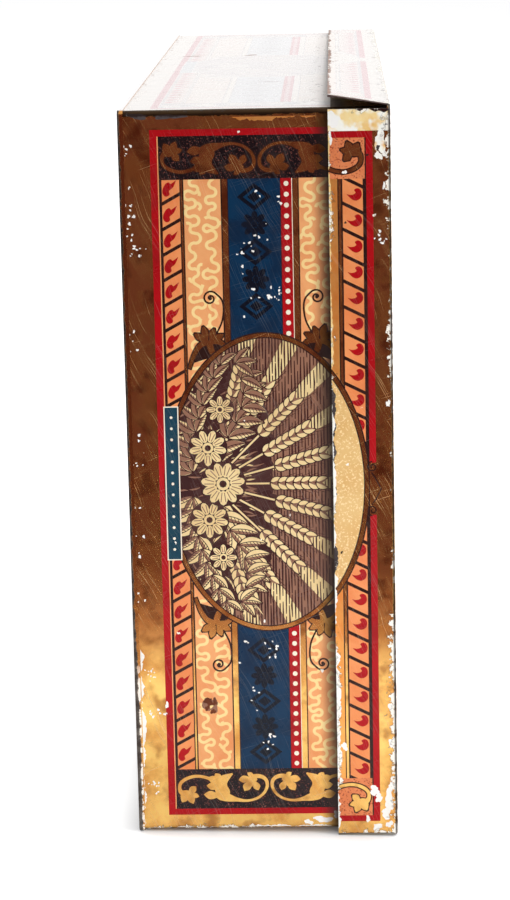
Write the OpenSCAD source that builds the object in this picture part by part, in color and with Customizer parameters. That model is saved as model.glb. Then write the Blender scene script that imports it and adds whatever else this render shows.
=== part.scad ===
// Flat rectangular tin of printed sheet with a lift-off lid.
// It stands on one long side: Z is up, the lid faces +X and the short printed side faces -Y.
// The origin is under the middle of the bounding box, at the lowest edge. Sizes are in millimetres.

/* [Tin] */
// Height of the closed tin, from the base to the top of the lid
tin_height = 61.2; // [45:0.5:90]
// Outside length of the body along Z
body_length = 170; // [110:1:240]
// Outside depth of the body along Y
body_depth = 238; // [150:1:320]
// Thickness of the tinplate
sheet = 0.3; // [0.25:0.01:0.4]
// Outside radius of the body's corners
corner_radius = 1.2; // [1:0.1:3]
// Width of the hem turned in round the mouth
mouth_hem = 4; // [2:0.5:8]

/* [Lock seams] */
// Length of the two hooks that lock in each seam
hook_length = 2.4; // [1.5:0.1:4]
// Leg of the solder bead inside each seam
seam_bead = 0.8; // [0.5:0.1:1.2]
// Play between the folded layers
seam_play = 0.05; // [0.03:0.01:0.1]
// Distance at which hems and fillets stop short of a seam
seam_relief = 1; // [0.5:0.1:3]

/* [Base] */
// Height of the rim turned up round the foot
base_rim = 1; // [0.6:0.1:4]
// Play between the rim and the body
rim_play = 0.05; // [0.03:0.01:0.1]
// Leg of the solder fillets inside the base
base_fillet = 0.8; // [0.5:0.1:2]

/* [Lid] */
// Depth of the lid's skirts, from the top of the lid to their free edge
lid_skirt = 14; // [8:0.5:25]
// Width of the hem turned in along each skirt
lid_hem = 1.4; // [1:0.1:3]
// Clearance between the hems and the body with the lid centred
lid_clear = 0.5; // [0.4:0.05:1]
// How far the lid hangs below the middle of the body
lid_drop = 0.3; // [0:0.05:0.35]
// Gap between the mouth and the lid's panel
lid_seat = 0.2; // [0.1:0.05:0.5]
// Outside radius of the folds round the lid's panel
fold_radius = 0.8; // [0.5:0.1:1.5]
// Slit between neighbouring skirts at a sound corner
corner_slit = 0.2; // [0.1:0.05:0.5]
// Leg of the solder fillets in the lid's corners, past the slit
corner_bead = 0.7; // [0.4:0.1:1]
// Slit at the sprung corner
sprung_slit = 0.8; // [0.3:0.1:2]
// Rise of the upper skirt's free edge at the sprung corner
sprung_rise = 2.2; // [0:0.1:5]

/* [Hidden] */
$fn = 48;
// Cuts run past the faces that they open
past = 1;
// Steps along the sprung skirt
sprung_steps = 12;
// Half sizes of the body
half_y = body_depth / 2;
half_z = body_length / 2;
// Outside of the skirts beyond the body with the lid centred
skirt_out = lid_clear + 2 * sheet;
// Half sizes of the lid
lid_y = half_y + skirt_out;
lid_z = half_z + skirt_out;
// Heights of the lid's and the body's middles
lid_mid = lid_z;
body_mid = lid_mid + lid_drop;
// Stations along the tin's height
x_base = -tin_height / 2;
x_foot = x_base + sheet;
x_top = tin_height / 2;
x_panel = x_top - sheet;
x_mouth = x_panel - lid_seat;
x_free = x_top - lid_skirt;
x_fold = x_top - fold_radius;
// Lock seam: four layers deep, counted inwards, and its width from the corner
layer = sheet + seam_play;
seam_deep = 3 * layer + sheet;
seam_start = corner_radius + seam_bead;
seam_wide = seam_start + hook_length + 2 * sheet + seam_play;
// Ends of what stops short of a seam
relief_y = half_y - seam_deep - seam_relief;
relief_z = half_z - seam_wide - seam_play - sheet - seam_relief;

// A drawing in Y and Z, drawn out along X from x0 to x1, about the height mid
module along_x(x0, x1, mid) {
    translate([x0, 0, mid]) rotate([90, 0, 90]) linear_extrude(x1 - x0) children();
}

// A drawing in X and Y, drawn out along Z from z0 to z1
module along_z(z0, z1) {
    translate([0, 0, z0]) linear_extrude(z1 - z0) children();
}

// A drawing in X and Z, drawn out along Y from y0 to y1
module along_y(y0, y1) {
    translate([0, y1, 0]) rotate([90, 0, 0]) linear_extrude(y1 - y0) children();
}

// A rectangle between two corners
module span(a, b) {
    translate(a) square([b[0] - a[0], b[1] - a[1]]);
}

// A rectangle with rounded corners, given by its half sizes and their radius
module round_rect(a, b, r) {
    square([2 * a - 2 * r, 2 * b], center = true);
    square([2 * a, 2 * b - 2 * r], center = true);
    for (i = [-1, 1], j = [-1, 1]) translate([i * (a - r), j * (b - r)]) circle(r);
}

// The body's section, set in by a distance
module body_section(inset) {
    round_rect(half_y - inset, half_z - inset, corner_radius - inset);
}

// One rectangle in the upper seam: u from the end wall, v in from the back face
module seam_layer(u0, u1, v0, v1) {
    span([half_y - v1, half_z - u1], [half_y - v0, half_z - u0]);
}

// A drawing and its reflection about the middle of the body
module both_ends() {
    children();
    mirror([0, 1]) children();
}

module front_wrap() {
    color("goldenrod") {
        along_x(x_foot, x_mouth, body_mid) {
            // front wall, both long walls and the outer layer of the seams
            difference() {
                body_section(0);
                body_section(sheet);
                span([half_y - sheet - past, seam_wide - half_z], [half_y + past, half_z - seam_wide]);
            }
            // hooks turned back into the seams
            both_ends() {
                seam_layer(seam_wide - sheet, seam_wide, 0, 2 * layer + sheet);
                seam_layer(seam_wide - sheet - hook_length, seam_wide, 2 * layer, 2 * layer + sheet);
            }
        }
        // hem at the mouth
        along_x(x_mouth - mouth_hem, x_mouth, body_mid) difference() {
            body_section(sheet / 2);
            body_section(2 * sheet);
            span([relief_y, -half_z], [half_y, half_z]);
        }
    }
}

module back_panel() {
    step_in = seam_wide + seam_play;
    color("khaki") {
        along_x(x_foot, x_mouth, body_mid) {
            span([half_y - sheet, step_in - half_z], [half_y, half_z - step_in]);
            both_ends() {
                // step in behind the wrap's fold
                seam_layer(step_in, step_in + sheet, 0, seam_deep);
                // layer under both hooks
                seam_layer(seam_start, step_in + sheet, 3 * layer, seam_deep);
                // hook between the wrap's layers
                seam_layer(seam_start, seam_start + sheet, layer, seam_deep);
                seam_layer(seam_start, seam_wide - layer, layer, layer + sheet);
            }
        }
        along_x(x_mouth - mouth_hem, x_mouth, body_mid)
            span([half_y - 2 * sheet, -relief_z], [half_y - sheet / 2, relief_z]);
    }
}

module base_pan() {
    color("dimgray") along_x(x_base, x_foot, body_mid)
        body_section(-rim_play - sheet);
    color("dimgray") along_x(x_base, x_foot + base_rim, body_mid) difference() {
        body_section(-rim_play - sheet);
        body_section(-rim_play);
    }
}

module seam_solder() {
    color("silver") along_x(x_foot, x_mouth, body_mid) both_ends()
        polygon([
            [half_y - sheet, half_z - seam_start],
            [half_y - sheet - seam_bead, half_z - seam_start],
            [half_y - sheet, half_z - seam_start + seam_bead]
        ]);
}

// A fillet in the corner of two walls, given by its legs along X and along the second axis
module fillet(corner, leg_x, leg_2) {
    polygon([corner, corner + [leg_x, 0], corner + [0, leg_2]]);
}

module base_solder() {
    long_end = half_y - corner_radius - base_fillet;
    short_end = half_z - corner_radius - base_fillet;
    wall_y = half_y - sheet;
    wall_z = half_z - sheet;
    color("silver") {
        along_z(body_mid - short_end, body_mid + short_end)
            fillet([x_foot, -wall_y], base_fillet, base_fillet);
        along_z(body_mid - relief_z, body_mid + relief_z)
            fillet([x_foot, wall_y], base_fillet, -base_fillet);
        along_y(-long_end, relief_y) {
            fillet([x_foot, body_mid - wall_z], base_fillet, base_fillet);
            fillet([x_foot, body_mid + wall_z], base_fillet, -base_fillet);
        }
    }
}

// The lid's outline across one pair of skirts, set in by a distance, with the folds rounded
module lid_outline(half, inset) {
    r = fold_radius - inset;
    h = half - inset;
    span([x_free - inset, -h], [x_fold, h]);
    span([x_free - inset, r - h], [x_top - inset, h - r]);
    for (i = [-1, 1]) translate([x_fold, i * (h - r)]) circle(r);
}

// The lid's solid form, set in by a distance
module lid_form(inset) {
    intersection() {
        along_z(inset, 2 * lid_mid - inset) lid_outline(lid_y, inset);
        translate([0, 0, lid_mid]) along_y(inset - lid_y, lid_y - inset) lid_outline(lid_z, inset);
    }
}

// Rise of the sprung skirt at a place along Y and X
function rise(y, x) = sprung_rise * (lid_y - y) / (2 * lid_y) * (x_fold - x) / (x_fold - x_free);

// A strip of the sprung skirt between two stations along X and two faces, from y0 to y1
module sprung_strip(x0, x1, z0, z1, y0, y1) {
    n = sprung_steps;
    points = [
        for (i = [0 : n]) let (y = y0 + (y1 - y0) * i / n)
            for (c = [[x0, z0], [x1, z0], [x1, z1], [x0, z1]]) [c[0], y, c[1] + rise(y, c[0])]
    ];
    sides = [
        for (i = [0 : n - 1], k = [0 : 3]) let (a = 4 * i + k, b = 4 * i + (k + 1) % 4)
            each [[a, b, b + 4], [a, b + 4, a + 4]]
    ];
    polyhedron(points, concat([[3, 2, 1, 0]], sides, [[4 * n, 4 * n + 1, 4 * n + 2, 4 * n + 3]]));
}

module lid_pan() {
    top_in = 2 * lid_mid - sheet;
    hem_end_y = lid_y - 2 * sheet - corner_slit;
    hem_low = 2 * sheet + corner_slit;
    front_high = top_in - sprung_slit;
    back_high = top_in - corner_slit;
    color("darkgoldenrod") {
        difference() {
            lid_form(0);
            lid_form(sheet);
            // slits beside the lower skirt
            for (i = [-1, 1]) translate([x_free - past, i * (lid_y - sheet / 2) - sheet, sheet])
                cube([x_fold - x_free + past, 2 * sheet, corner_slit]);
            // slits beside the upper skirt
            translate([x_free - past, -lid_y - past, front_high])
                cube([x_fold - x_free + past, sheet + past, sprung_slit]);
            translate([x_free - past, lid_y - sheet, back_high])
                cube([x_fold - x_free + past, sheet + past, corner_slit]);
            // place of the sprung skirt
            translate([x_free - past, -lid_y - past, top_in])
                cube([x_fold - x_free + past, 2 * (lid_y + past), sheet + past]);
        }
        // upper skirt, sprung up at the front, and its hem
        sprung_strip(x_free, x_fold, top_in, top_in + sheet, -lid_y, lid_y);
        sprung_strip(x_free, x_free + lid_hem, top_in - sheet, top_in + sheet / 2, -hem_end_y, hem_end_y);
        // hems of the other skirts
        along_y(-hem_end_y, hem_end_y) span([x_free, sheet / 2], [x_free + lid_hem, 2 * sheet]);
        along_z(hem_low, front_high)
            span([x_free, sheet / 2 - lid_y], [x_free + lid_hem, 2 * sheet - lid_y]);
        along_z(hem_low, back_high)
            span([x_free, lid_y - 2 * sheet], [x_free + lid_hem, lid_y - sheet / 2]);
    }
}

module lid_solder() {
    leg = corner_slit + corner_bead;
    wall = lid_y - sheet;
    color("silver") along_x(x_free + lid_hem, x_fold, lid_mid) {
        for (i = [-1, 1]) translate([i * wall, sheet - lid_mid]) polygon([[0, 0], [-i * leg, 0], [0, leg]]);
        translate([wall, lid_mid - sheet]) polygon([[0, 0], [-leg, 0], [0, -leg]]);
    }
}

front_wrap();
back_panel();
base_pan();
seam_solder();
base_solder();
lid_pan();
lid_solder();
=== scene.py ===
import math
import random

import bpy
import numpy as np
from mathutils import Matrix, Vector
from mathutils.geometry import delaunay_2d_cdt


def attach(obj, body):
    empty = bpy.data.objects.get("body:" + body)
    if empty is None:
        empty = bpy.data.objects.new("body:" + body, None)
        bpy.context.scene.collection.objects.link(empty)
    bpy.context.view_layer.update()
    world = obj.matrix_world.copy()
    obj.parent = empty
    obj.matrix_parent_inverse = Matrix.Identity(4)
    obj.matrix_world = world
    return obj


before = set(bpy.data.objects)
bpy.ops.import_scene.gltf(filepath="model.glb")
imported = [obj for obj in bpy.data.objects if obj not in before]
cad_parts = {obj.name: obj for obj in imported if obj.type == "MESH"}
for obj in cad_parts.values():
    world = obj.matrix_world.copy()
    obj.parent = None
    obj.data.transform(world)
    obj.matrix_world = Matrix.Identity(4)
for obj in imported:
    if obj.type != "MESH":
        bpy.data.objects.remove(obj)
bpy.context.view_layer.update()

MM = 0.001
# Stations of the tin in millimetres
BASE_OUT, RIM_TOP, MOUTH = -30.6, -29.3, 30.1
LID_FREE, LID_FOLD, LID_TOP = 16.6, 29.8, 30.6
BODY_Y, BODY_LOW, BODY_HIGH, BODY_R = 119.0, 1.4, 171.4, 1.2
BODY_MID = (BODY_LOW + BODY_HIGH) / 2
LID_Y, LID_HIGH, FOLD_R = 120.1, 172.2, 0.8
LID_MID = LID_HIGH / 2
SEAM_LAP = 5.05
SPRUNG_RISE, SPRUNG_STEPS = 2.2, 12
# Faces of a print layer above the sheet
LAYER_LOW, LAYER_TOP = 0.005, 0.025
# Points nearer than NEAR are one point, and a border is true to SLACK
NEAR, SLACK = 0.001, 0.004
ARC_STEPS = 6


def linear(*rgb):
    """An sRGB colour of 0 to 255 as linear RGBA."""
    part = [c / 255 for c in rgb]
    return (*[c / 12.92 if c <= 0.04045 else ((c + 0.055) / 1.055) ** 2.4 for c in part], 1.0)


# Lines and shapes. A point is a complex number, X or Y across and the other axis up.


def curve(knots, steps=5):
    """A smooth line through knots, each of two or three numbers."""
    k = [knots[0], *knots, knots[-1]]
    line = []
    for a, b, c, d in zip(k, k[1:], k[2:], k[3:]):
        for i in range(steps):
            t = i / steps
            line.append(tuple(
                (2 * q + (r - p) * t + (2 * p - 5 * q + 4 * r - s) * t * t
                 + (3 * q - p - 3 * r + s) * t ** 3) / 2
                for p, q, r, s in zip(a, b, c, d)
            ))
    line.append(tuple(k[-1]))
    return line


def ribbon(line, grow=0.0, run=10):
    """Polygons along a line of (x, y, width), wider by grow on each side and at the ends."""
    p = [complex(x, y) for x, y, _ in line]
    last = len(p) - 1
    rails = []
    for i, (_, _, width) in enumerate(line):
        way = p[min(i + 1, last)] - p[max(i - 1, 0)]
        way /= abs(way) or 1.0
        spot = p[i] + way * grow * ((i == last) - (i == 0))
        side = 1j * way * (width / 2 + grow)
        rails.append((spot + side, spot - side))
    parts = [rails[i:i + run + 1] for i in range(0, last, run)]
    return [[a for a, _ in part] + [b for _, b in part[::-1]] for part in parts]


def direction(angle):
    return complex(math.cos(angle), math.sin(angle))


def swapped(p):
    return complex(p.imag, p.real)


def disc(centre, a, b=None, turn=0.0, sides=14):
    """An ellipse as one polygon."""
    b = a if b is None else b
    spin = direction(turn)
    steps = [2 * math.pi * i / sides for i in range(sides)]
    return [centre + spin * complex(a * math.cos(t), b * math.sin(t)) for t in steps]


def box(x0, y0, x1, y1):
    return [complex(x0, y0), complex(x1, y0), complex(x1, y1), complex(x0, y1)]


def frame_box(half_x, half_y):
    return box(-half_x, -half_y, half_x, half_y)


def coil(centre, start, end, a0, a1, width, steps=26):
    """A spiral line from radius start at angle a0 to radius end at angle a1."""
    line = []
    for i in range(steps + 1):
        t = i / steps
        p = centre + (start + (end - start) * t) * direction(a0 + (a1 - a0) * t)
        line.append((p.real, p.imag, width))
    return line


def leaf(root, tip, width, bend=0.0, steps=8, full=0.8):
    """An almond-shaped ribbon from root to tip, bowed sideways by bend, and blunter with a larger full."""
    way = tip - root
    line = []
    for i in range(steps + 1):
        t = i / steps
        p = root + way * t + 1j * way * bend * math.sin(math.pi * t)
        line.append((p.real, p.imag, max(0.04, width * math.sin(math.pi * t ** full))))
    return line


def lobes(spots):
    """Blunt leaves of (root, tip, width)."""
    return [leaf(*spot, full=1.6) for spot in spots]


def rough_blob(centre, size, seed, stretch=1.0, sides=30):
    """A ragged patch."""
    dice = random.Random(seed)
    waves = [(k, dice.uniform(0.0, 2 * math.pi), 0.42 / k) for k in (2, 3, 5, 8, 11)]
    ring = []
    for i in range(sides):
        t = 2 * math.pi * i / sides
        reach = size * (0.85 + sum(a * math.cos(k * t + shift) for k, shift, a in waves))
        ring.append(centre + reach * complex(stretch * math.cos(t), math.sin(t)))
    return ring


def inside(ring, spots):
    """Which spots a closed ring winds round."""
    winds = np.zeros(len(spots), int)
    x, y = spots.real, spots.imag
    for a, b in zip(ring, np.roll(ring, -1)):
        cross = np.flatnonzero((y >= min(a.imag, b.imag)) & (y < max(a.imag, b.imag)))
        left = (b.real - a.real) * (y[cross] - a.imag) - (x[cross] - a.real) * (b.imag - a.imag)
        turn = 1 if b.imag > a.imag else -1
        winds[cross[left * turn > 0]] += turn
    return winds != 0


def triangles(points, edges):
    """Triangles that keep to the edges: points and corners as arrays."""
    flat = [Vector((p.real, p.imag)) for p in points]
    spots, _, corners, *_ = delaunay_2d_cdt(flat, edges, [], 0, NEAR, False)
    return np.array([complex(*p) for p in spots]), np.array(corners)


def borders(spots, corners, inks):
    """The lines between different inks, without the points that they don't need."""
    ends = np.concatenate([corners[:, [0, 1]], corners[:, [1, 2]], corners[:, [2, 0]]])
    key = ends.min(axis=1) * len(spots) + ends.max(axis=1)
    order = np.argsort(key, kind="stable")
    ends, key, ink = ends[order], key[order], np.tile(inks, 3)[order]
    twin = np.append(key[1:] == key[:-1], False)
    lone = ~twin & ~np.roll(twin, 1)
    kept = (twin & (ink != np.roll(ink, -1))) | (lone & (ink >= 0))
    near = {}
    for a, b in ends[kept].tolist():
        near.setdefault(a, set()).add(b)
        near.setdefault(b, set()).add(a)
    flat = spots.tolist()
    for _ in range(10):
        fixed = set()
        for v in list(near):
            if len(near[v]) != 2 or v in fixed:
                continue
            a, b = near[v]
            way = flat[b] - flat[a]
            if b in near[a] or abs((way.conjugate() * (flat[v] - flat[a])).imag) > SLACK * abs(way):
                continue
            near[a] ^= {v, b}
            near[b] ^= {v, a}
            del near[v]
            fixed |= {a, b}
    new = {v: i for i, v in enumerate(near)}
    return [flat[v] for v in near], [(new[a], new[b]) for a in near for b in near[a] if a < b]


class Art:
    """A flat drawing: areas of ink, where a later area covers an earlier one."""

    def __init__(self, outline, folds=()):
        self.areas, self.folds, self.clip, self.view = [], list(folds), None, None
        self.fill("gold", [outline])

    def fill(self, ink, shapes, at=lambda p: p):
        for shape in shapes:
            ring = [at(p) for p in shape]
            if self.view:
                ring = [self.view(p) for p in ring]
            self.areas.append((np.array(ring), ink, self.clip))

    def through(self, view, draw, *args):
        """Draw with every point moved by view."""
        self.view = view
        draw(self, *args)
        self.view = None

    def clipped(self, draw, *args):
        """Draw inside the last area alone."""
        self.clip = len(self.areas) - 1
        draw(self, *args)
        self.clip = None

    def strips(self, low, high, *bands):
        """Straight bands of (ink, x0, x1) between two heights."""
        for ink, x0, x1 in bands:
            self.fill(ink, [box(x0, low, x1, high)])

    def outlined(self, ribbons, at):
        """A gold figure of ribbons with a dark edge all round."""
        for grow, ink in ((0.28, "dark"), (0.0, "gold")):
            for line in ribbons:
                self.fill(ink, ribbon(line, grow), at)

    def ink_at(self, spots, names, cell=2.0):
        """The number of the topmost ink at each spot, or -1 off the sheet."""
        low = complex(spots.real.min(), spots.imag.min())
        column = ((spots.real - low.real) / cell).astype(int)
        row = ((spots.imag - low.imag) / cell).astype(int)
        rows = row.max() + 2
        order = np.argsort(column * rows + row, kind="stable")
        key = (column * rows + row)[order]
        found = np.full(len(spots), -1)
        masks = {clip: np.zeros(len(spots), bool) for _, _, clip in self.areas}
        masks[None][:] = True
        for i, (ring, ink, clip) in enumerate(self.areas):
            x0, x1 = (int((x - low.real) // cell) for x in (ring.real.min(), ring.real.max()))
            y0, y1 = (int((y - low.imag) // cell) for y in (ring.imag.min(), ring.imag.max()))
            y0, y1 = max(y0, 0), min(y1, rows - 2)
            if y1 < y0:
                continue
            starts = [c * rows for c in range(max(x0, 0), min(x1, column.max()) + 1)]
            runs = [order[slice(*np.searchsorted(key, (s + y0, s + y1 + 1)))] for s in starts]
            if not runs:
                continue
            near = np.concatenate(runs)
            near = near[masks[clip][near]]
            near = near[inside(ring, spots[near])]
            if i in masks:
                masks[i][near] = True
            found[near] = names.index(ink)
        found[~inside(self.areas[0][0], spots)] = -1
        return found

    def cut(self):
        """The drawing as triangles: points, corners and inks."""
        names = sorted({ink for _, ink, _ in self.areas})
        points, edges = [], []
        for ring, _, _ in self.areas:
            first, size = len(points), len(ring)
            points += ring.tolist()
            edges += [(first + i, first + (i + 1) % size) for i in range(size)]
        for draft in (True, False):
            for fold in self.folds:
                edges.append((len(points), len(points) + 1))
                points += fold
            spots, corners = triangles(points, edges)
            inks = self.ink_at(spots[corners].mean(axis=1), names)
            if draft:
                points, edges = borders(spots, corners, inks)
        kept = inks >= 0
        return spots, corners[kept], [names[i] for i in inks[kept]]


def film(name, body, art, place, inks):
    """The drawing as a thin closed layer on the sheet, with one material for each ink."""
    spots, corners, names = art.cut()
    used, corners = np.unique(corners, return_inverse=True)
    flat, tris = spots[used].tolist(), corners.reshape(-1, 3).tolist()
    edges = {e for t in tris for e in zip(t, t[1:] + t[:1])}
    rim = {a: b for a, b in edges if (b, a) not in edges}
    ring = [min(rim)]
    while rim[ring[-1]] != ring[0]:
        ring.append(rim[ring[-1]])
    # Lower face: the ring and the folds only
    low = [flat[v] for v in ring] + [p for fold in art.folds for p in fold]
    low = [Vector((p.real, p.imag)) for p in low]
    folds = [(i, i + 1) for i in range(len(ring), len(low), 2)]
    face = [list(range(len(ring)))]
    low_spots, _, low_tris, origin, _, found = delaunay_2d_cdt(low, folds, face, 0, NEAR, True)
    count = len(flat)
    low_tris = [[v + count for v in t] for t, f in zip(low_tris, found) if f]
    below = {ring[o]: i + count for i, ids in enumerate(origin) for o in ids if o < len(ring)}
    flat += [complex(*p) for p in low_spots]
    places = [place(p.real, p.imag) for p in flat]
    points = [(p + n * (LAYER_TOP if i < count else LAYER_LOW)) * MM for i, (p, n) in enumerate(places)]
    walls = [[b, a, below[a], below[b]] for a, b in rim.items()]
    faces = tris + [t[::-1] for t in low_tris] + walls
    a, b, c = (points[v] for v in tris[0])
    if (b - a).cross(c - a).dot(places[tris[0][0]][1]) < 0:
        faces = [f[::-1] for f in faces]
    mesh = bpy.data.meshes.new(name)
    mesh.from_pydata(points, [], faces)
    order = sorted(set(names) | {"bare"})
    for ink in order:
        mesh.materials.append(inks[ink])
    slots = [order.index(n) for n in names] + [order.index("bare")] * (len(faces) - len(names))
    mesh.polygons.foreach_set("material_index", slots)
    mesh.polygons.foreach_set("use_smooth", [True] * len(faces))
    x0, x1 = min(p.real for p in flat), max(p.real for p in flat)
    y0, y1 = min(p.imag for p in flat), max(p.imag for p in flat)
    unit = [((p.real - x0) / (x1 - x0), 0.005 + 0.99 * (p.imag - y0) / (y1 - y0)) for p in flat]
    uv, normals = [], []
    for i, poly in enumerate(mesh.polygons):
        start, wide = (0.005, 0.96) if i < len(tris) else (0.975, 0.02)
        for v in poly.vertices:
            uv += [start + wide * unit[v][0], unit[v][1]]
            if i < len(tris):
                normals.append(places[v][1])
            else:
                normals.append(poly.normal.copy() if i >= len(tris) + len(low_tris) else -places[v][1])
    mesh.uv_layers.new(name="OFBake").uv.foreach_set("vector", uv)
    mesh.normals_split_custom_set(normals)
    mesh.validate()
    piece = bpy.data.objects.new(name, mesh)
    bpy.context.scene.collection.objects.link(piece)
    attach(piece, body)


# Material graphs


class Graph:
    """Short calls that add nodes to a tree and return one output."""

    def __init__(self, tree):
        self.tree = tree

    def add(self, kind, inputs, out=0, **settings):
        n = self.tree.nodes.new(kind)
        for key, value in settings.items():
            setattr(n, key, value)
        for key, value in inputs.items():
            if isinstance(value, bpy.types.NodeSocket):
                self.tree.links.new(value, n.inputs[key])
            else:
                n.inputs[key].default_value = value
        return n.outputs[out] if len(n.outputs) else n

    def math(self, operation, a, b=0.0):
        return self.add("ShaderNodeMath", {0: a, 1: b}, operation=operation)

    def times(self, a, b):
        return self.math("MULTIPLY", a, b)

    def plus(self, a, b):
        return self.math("ADD", a, b)

    def minus(self, a, b):
        return self.math("SUBTRACT", a, b)

    def most(self, a, b):
        return self.math("MAXIMUM", a, b)

    def drive(self, shader, inputs):
        for key, value in inputs.items():
            self.tree.links.new(value, shader.inputs[key])

    def step(self, value, low, high, a=0.0, b=1.0):
        inputs = {0: value, 1: low, 2: high, 3: a, 4: b}
        return self.add("ShaderNodeMapRange", inputs, interpolation_type="SMOOTHSTEP")

    def mix(self, share, a, b):
        return self.add("ShaderNodeMix", {0: share, 6: a, 7: b}, 2, data_type="RGBA")

    def blend(self, share, a, b):
        return self.add("ShaderNodeMix", {0: share, 2: a, 3: b}, data_type="FLOAT")

    def noise(self, at, scale, detail=3.0, rough=0.55):
        inputs = {"Vector": at, "Scale": scale, "Detail": detail, "Roughness": rough}
        return self.add("ShaderNodeTexNoise", inputs)

    def cells(self, at, scale, out=0):
        return self.add("ShaderNodeTexVoronoi", {"Vector": at, "Scale": scale}, out)

    def millimetres(self):
        at = self.add("ShaderNodeTexCoord", {}, "Object")
        return self.add("ShaderNodeVectorMath", {0: at, "Scale": 1000.0}, operation="SCALE")

    def turned(self, at, angle, size):
        """Places on axes turned about Y, in units of size."""
        inputs = {"Vector": at, "Rotation": (0.0, angle, 0.0), "Scale": size}
        return self.add("ShaderNodeMapping", inputs, vector_type="TEXTURE")


def new_material(name):
    material = bpy.data.materials.new(name)
    material.use_nodes = True
    tree = material.node_tree
    shader = next(n for n in tree.nodes if n.type == "BSDF_PRINCIPLED")
    return material, Graph(tree), shader


def edge_distance(g, at, centre, half):
    """Distance to a box's nearest edge: the middle one of the distances to its three pairs of faces."""
    off = g.add("ShaderNodeVectorMath", {0: at, 1: centre}, operation="SUBTRACT")
    off = g.add("ShaderNodeVectorMath", {0: off}, operation="ABSOLUTE")
    off = g.add("ShaderNodeVectorMath", {0: half, 1: off}, operation="SUBTRACT")
    x, y, z = (g.math("ABSOLUTE", g.add("ShaderNodeSeparateXYZ", {0: off}, i)) for i in range(3))
    return g.most(g.math("MINIMUM", x, y), g.math("MINIMUM", g.most(x, y), z))


def wear_and_shade_group(name, centre, half, worn, dark_band, tarnished):
    """Masks of wear and painted shade for a box's printed faces: chips, their rims, scratches, patches, soil
    with painted shade, and relief.
    """
    tree = bpy.data.node_groups.new(name, "ShaderNodeTree")
    for label in ("Chip", "Rim", "Scratch", "Patch", "SoilAndShade", "Relief"):
        tree.interface.new_socket(name=label, in_out="OUTPUT", socket_type="NodeSocketFloat")
    g = Graph(tree)
    at = g.millimetres()
    edge = edge_distance(g, at, centre, half)
    ragged = g.noise(at, 0.55, 6.0, 0.68)
    broad = g.noise(at, 0.045, 2.0)
    level = g.add("ShaderNodeMapRange", {0: edge, 1: 0.0, 2: 3.6, 3: worn, 4: 0.82})
    level = g.plus(level, g.step(broad, 0.35, 0.65, 0.07, -0.07))
    over = g.minus(ragged, level)
    chip = g.step(over, 0.0, 0.025)
    rim = g.step(over, -0.05, 0.0)
    # Small flakes and dark pits
    spot = g.plus(g.cells(at, 0.3), g.times(g.noise(at, 1.9, 2.0), 0.45))
    pick = tree.nodes.new("ShaderNodeSeparateColor")
    tree.links.new(g.cells(at, 0.3, 1), pick.inputs[0])
    flake, pit = (
        g.step(g.minus(g.step(pick.outputs[i], rare, 1.0, 0.1, 0.32), spot), 0.0, 0.02)
        for i, rare in ((0, 0.84), (1, 0.92))
    )
    chip = g.most(chip, flake)
    bent = g.add("ShaderNodeVectorMath", {0: at, 1: g.times(broad, 5.0)}, operation="ADD")
    fine = g.noise(g.turned(bent, -0.45, (0.16, 9.0, 26.0)), 1.0, 1.0)
    short = g.noise(g.turned(bent, 1.25, (0.18, 9.0, 12.0)), 1.0, 1.0)
    patch = g.noise(at, 0.11, 5.0, 0.62)
    scratch = g.most(g.step(fine, 0.58, 0.74), g.step(short, 0.66, 0.78))
    scratch = g.times(scratch, g.step(patch, 0.34, 0.56))
    # A dark band between two X stations: on the body, beside the lid's edge, it is painted shadow of the lid
    # with soil; on the lid it darkens the fold. Tarnish on the edges themselves
    place = tree.nodes.new("ShaderNodeSeparateXYZ")
    tree.links.new(at, place.inputs[0])
    rise, fall = dark_band
    soil_and_shade = g.times(g.step(place.outputs[0], *rise), g.step(place.outputs[0], *fall, 1.0, 0.0))
    soil_and_shade = g.times(soil_and_shade, g.step(patch, 0.2, 0.6, 0.8, 1.0))
    reach = g.minus(edge, g.step(place.outputs[2], 60.0, 120.0, *tarnished))
    tarnish = g.step(g.plus(reach, g.times(ragged, 1.6)), 0.95, 0.65)
    soil_and_shade = g.most(g.most(soil_and_shade, tarnish), pit)
    dents = g.noise(at, 0.035, 1.0)
    relief = g.minus(g.times(dents, 0.07), g.times(chip, 0.02))
    end = tree.nodes.new("NodeGroupOutput")
    for i, value in enumerate((chip, rim, scratch, patch, soil_and_shade, relief)):
        tree.links.new(value, end.inputs[i])
    return tree


BARE = linear(250, 245, 234)
GRIME_AND_SHADE = linear(42, 29, 26)
GLARE_WHITE = (251, 248, 248)


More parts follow.
